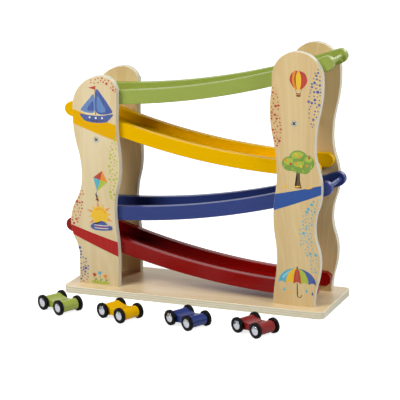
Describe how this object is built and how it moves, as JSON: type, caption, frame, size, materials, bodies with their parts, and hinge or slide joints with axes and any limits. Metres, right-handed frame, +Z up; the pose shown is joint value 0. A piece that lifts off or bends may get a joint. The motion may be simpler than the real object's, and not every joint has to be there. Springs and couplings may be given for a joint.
{
  "type": "wooden toy car ramp",
  "caption": "Wooden toy car ramp: two wavy towers on a base board hold curved ramps that fall in a zigzag, with small free-rolling cars standing in front.",
  "frame": {"origin": "centre of the base board's underside, which is on the table", "axes": "+X to the right along the base board, +Y to the back, +Z up"},
  "size_m": [0.38, 0.2225, 0.3462],
  "materials": {
    "panel_wood": "plywood, clear matt varnish, printed on the front panels",
    "base_wood": "plywood, clear matt varnish",
    "dowel_wood": "bare beech",
    "green_lacquer": "satin green lacquer",
    "yellow_lacquer": "satin yellow lacquer",
    "blue_lacquer": "satin blue lacquer",
    "red_lacquer": "satin red lacquer",
    "screw_steel": "zinc-plated steel",
    "hub_silver": "silver metallised plastic",
    "tyre_rubber": "black rubber, smooth",
    "axle_steel": "bright steel pin",
    "green_car_paint": "gloss green paint",
    "yellow_car_paint": "gloss yellow paint",
    "blue_car_paint": "gloss blue paint",
    "red_car_paint": "gloss red paint"
  },
  "bodies": {
    "ramp": {"base_board": "base_wood", "left_panel_front": "panel_wood", "left_panel_back": "panel_wood", "right_panel_front": "panel_wood", "right_panel_back": "panel_wood", "left_spacer": "dowel_wood", "right_spacer": "dowel_wood", "green_rail_front": "green_lacquer", "green_rail_back": "green_lacquer", "green_floor": "green_lacquer", "green_stop_dowel": "green_lacquer", "yellow_rail_front": "yellow_lacquer", "yellow_rail_back": "yellow_lacquer", "yellow_floor": "yellow_lacquer", "yellow_stop_dowel": "yellow_lacquer", "blue_rail_front": "blue_lacquer", "blue_rail_back": "blue_lacquer", "blue_floor": "blue_lacquer", "blue_stop_dowel": "blue_lacquer", "red_rail_front": "red_lacquer", "red_rail_back": "red_lacquer", "red_floor": "red_lacquer", "red_stop_dowel": "red_lacquer", "tower_screws": "screw_steel", "base_screws": "screw_steel", "rail_pins": "dowel_wood"},
    "green_car": {"green_car_body": "green_car_paint"},
    "green_front_wheels": {"green_front_hubs": "hub_silver", "green_front_tyres": "tyre_rubber", "green_front_axle": "axle_steel"},
    "green_rear_wheels": {"green_rear_hubs": "hub_silver", "green_rear_tyres": "tyre_rubber", "green_rear_axle": "axle_steel"},
    "yellow_car": {"yellow_car_body": "yellow_car_paint"},
    "yellow_front_wheels": {"yellow_front_hubs": "hub_silver", "yellow_front_tyres": "tyre_rubber", "yellow_front_axle": "axle_steel"},
    "yellow_rear_wheels": {"yellow_rear_hubs": "hub_silver", "yellow_rear_tyres": "tyre_rubber", "yellow_rear_axle": "axle_steel"},
    "blue_car": {"blue_car_body": "blue_car_paint"},
    "blue_front_wheels": {"blue_front_hubs": "hub_silver", "blue_front_tyres": "tyre_rubber", "blue_front_axle": "axle_steel"},
    "blue_rear_wheels": {"blue_rear_hubs": "hub_silver", "blue_rear_tyres": "tyre_rubber", "blue_rear_axle": "axle_steel"},
    "red_car": {"red_car_body": "red_car_paint"},
    "red_front_wheels": {"red_front_hubs": "hub_silver", "red_front_tyres": "tyre_rubber", "red_front_axle": "axle_steel"},
    "red_rear_wheels": {"red_rear_hubs": "hub_silver", "red_rear_tyres": "tyre_rubber", "red_rear_axle": "axle_steel"}
  },
  "joints": [
    {"name": "green_car_roll", "type": "slide", "parent": "ramp", "child": "green_car", "axis": [0.8894, -0.4571, 0], "range_m": [-0.08, 0.012]},
    {"name": "green_front_spin", "type": "hinge", "parent": "green_car", "child": "green_front_wheels", "pos_m": [-0.14039, -0.13901, 0.0102], "axis": [0.4571, 0.8894, 0], "continuous": true},
    {"name": "green_rear_spin", "type": "hinge", "parent": "green_car", "child": "green_rear_wheels", "pos_m": [-0.17001, -0.12379, 0.0102], "axis": [0.4571, 0.8894, 0], "continuous": true},
    {"name": "yellow_car_roll", "type": "slide", "parent": "ramp", "child": "yellow_car", "axis": [0.9085, -0.4179, 0], "range_m": [-0.012, 0.08]},
    {"name": "yellow_front_spin", "type": "hinge", "parent": "yellow_car", "child": "yellow_front_wheels", "pos_m": [-0.05177, -0.14316, 0.0102], "axis": [0.4179, 0.9085, 0], "continuous": true},
    {"name": "yellow_rear_spin", "type": "hinge", "parent": "yellow_car", "child": "yellow_rear_wheels", "pos_m": [-0.08203, -0.12924, 0.0102], "axis": [0.4179, 0.9085, 0], "continuous": true},
    {"name": "blue_car_roll", "type": "slide", "parent": "ramp", "child": "blue_car", "axis": [0.8918, -0.4524, 0], "range_m": [-0.08, 0.08]},
    {"name": "blue_front_spin", "type": "hinge", "parent": "blue_car", "child": "blue_front_wheels", "pos_m": [0.04295, -0.14353, 0.0102], "axis": [0.4524, 0.8918, 0], "continuous": true},
    {"name": "blue_rear_spin", "type": "hinge", "parent": "blue_car", "child": "blue_rear_wheels", "pos_m": [0.01325, -0.12847, 0.0102], "axis": [0.4524, 0.8918, 0], "continuous": true},
    {"name": "red_car_roll", "type": "slide", "parent": "ramp", "child": "red_car", "axis": [0.9011, -0.4337, 0], "range_m": [-0.08, 0.08]},
    {"name": "red_front_spin", "type": "hinge", "parent": "red_car", "child": "red_front_wheels", "pos_m": [0.1352, -0.14282, 0.0102], "axis": [0.4337, 0.9011, 0], "continuous": true},
    {"name": "red_rear_spin", "type": "hinge", "parent": "red_car", "child": "red_rear_wheels", "pos_m": [0.1052, -0.12838, 0.0102], "axis": [0.4337, 0.9011, 0], "continuous": true}
  ],
  "couplings": [
    {"joint": "green_front_spin", "follows": "green_car_roll", "rad_per_m": 98.039},
    {"joint": "green_rear_spin", "follows": "green_car_roll", "rad_per_m": 98.039},
    {"joint": "yellow_front_spin", "follows": "yellow_car_roll", "rad_per_m": 98.039},
    {"joint": "yellow_rear_spin", "follows": "yellow_car_roll", "rad_per_m": 98.039},
    {"joint": "blue_front_spin", "follows": "blue_car_roll", "rad_per_m": 98.039},
    {"joint": "blue_rear_spin", "follows": "blue_car_roll", "rad_per_m": 98.039},
    {"joint": "red_front_spin", "follows": "red_car_roll", "rad_per_m": 98.039},
    {"joint": "red_rear_spin", "follows": "red_car_roll", "rad_per_m": 98.039}
  ]
}
